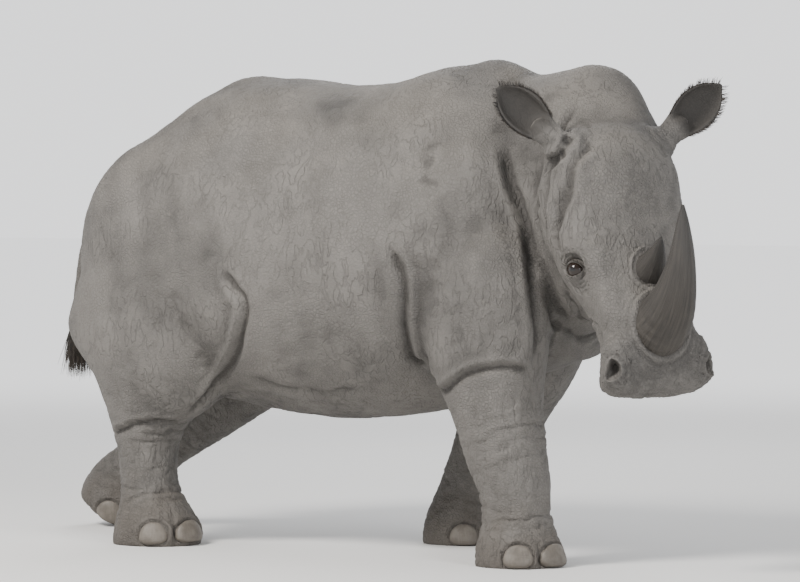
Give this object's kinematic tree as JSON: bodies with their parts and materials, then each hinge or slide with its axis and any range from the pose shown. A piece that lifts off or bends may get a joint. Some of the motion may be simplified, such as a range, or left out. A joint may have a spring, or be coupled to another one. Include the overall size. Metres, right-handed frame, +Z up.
{
  "type": "white rhinoceros",
  "caption": "Life-size still model of a white rhinoceros in mid-walk, its head lowered and turned to its right, with curved nose horns, cupped ears, a tufted tail and broad toenails.",
  "frame": {"origin": "on the floor, under the middle of the box round the animal", "axes": "+X the way the animal walks, +Y its left, +Z up; the floor it stands on is z = 0"},
  "size_m": [3.2228, 1.1756, 1.7674],
  "materials": {
    "hide": "dry folded grey-brown hide",
    "horn_keratin": "fibrous dark horn, smoother towards the tip",
    "nail_keratin": "worn pale toenail",
    "eye_dark": "wet glossy dark eye",
    "hair_dark": "coarse dark tail hair"
  },
  "bodies": {
    "root": {"ear_left": "hide", "ear_right": "hide", "eye_left": "eye_dark", "eye_right": "eye_dark", "foot_front_left": "hide", "foot_front_right": "hide", "foot_hind_left": "hide", "foot_hind_right": "hide", "head": "hide", "horn_front": "horn_keratin", "horn_rear": "horn_keratin", "leg_front_left": "hide", "leg_front_right": "hide", "leg_hind_left": "hide", "leg_hind_right": "hide", "lower_jaw": "hide", "nail_front_left_inner": "nail_keratin", "nail_front_left_middle": "nail_keratin", "nail_front_left_outer": "nail_keratin", "nail_front_right_inner": "nail_keratin", "nail_front_right_middle": "nail_keratin", "nail_front_right_outer": "nail_keratin", "nail_hind_left_inner": "nail_keratin", "nail_hind_left_middle": "nail_keratin", "nail_hind_left_outer": "nail_keratin", "nail_hind_right_inner": "nail_keratin", "nail_hind_right_middle": "nail_keratin", "nail_hind_right_outer": "nail_keratin", "neck": "hide", "tail": "hide", "tail_tuft": "hair_dark", "trunk": "hide"}
  },
  "joints": []
}
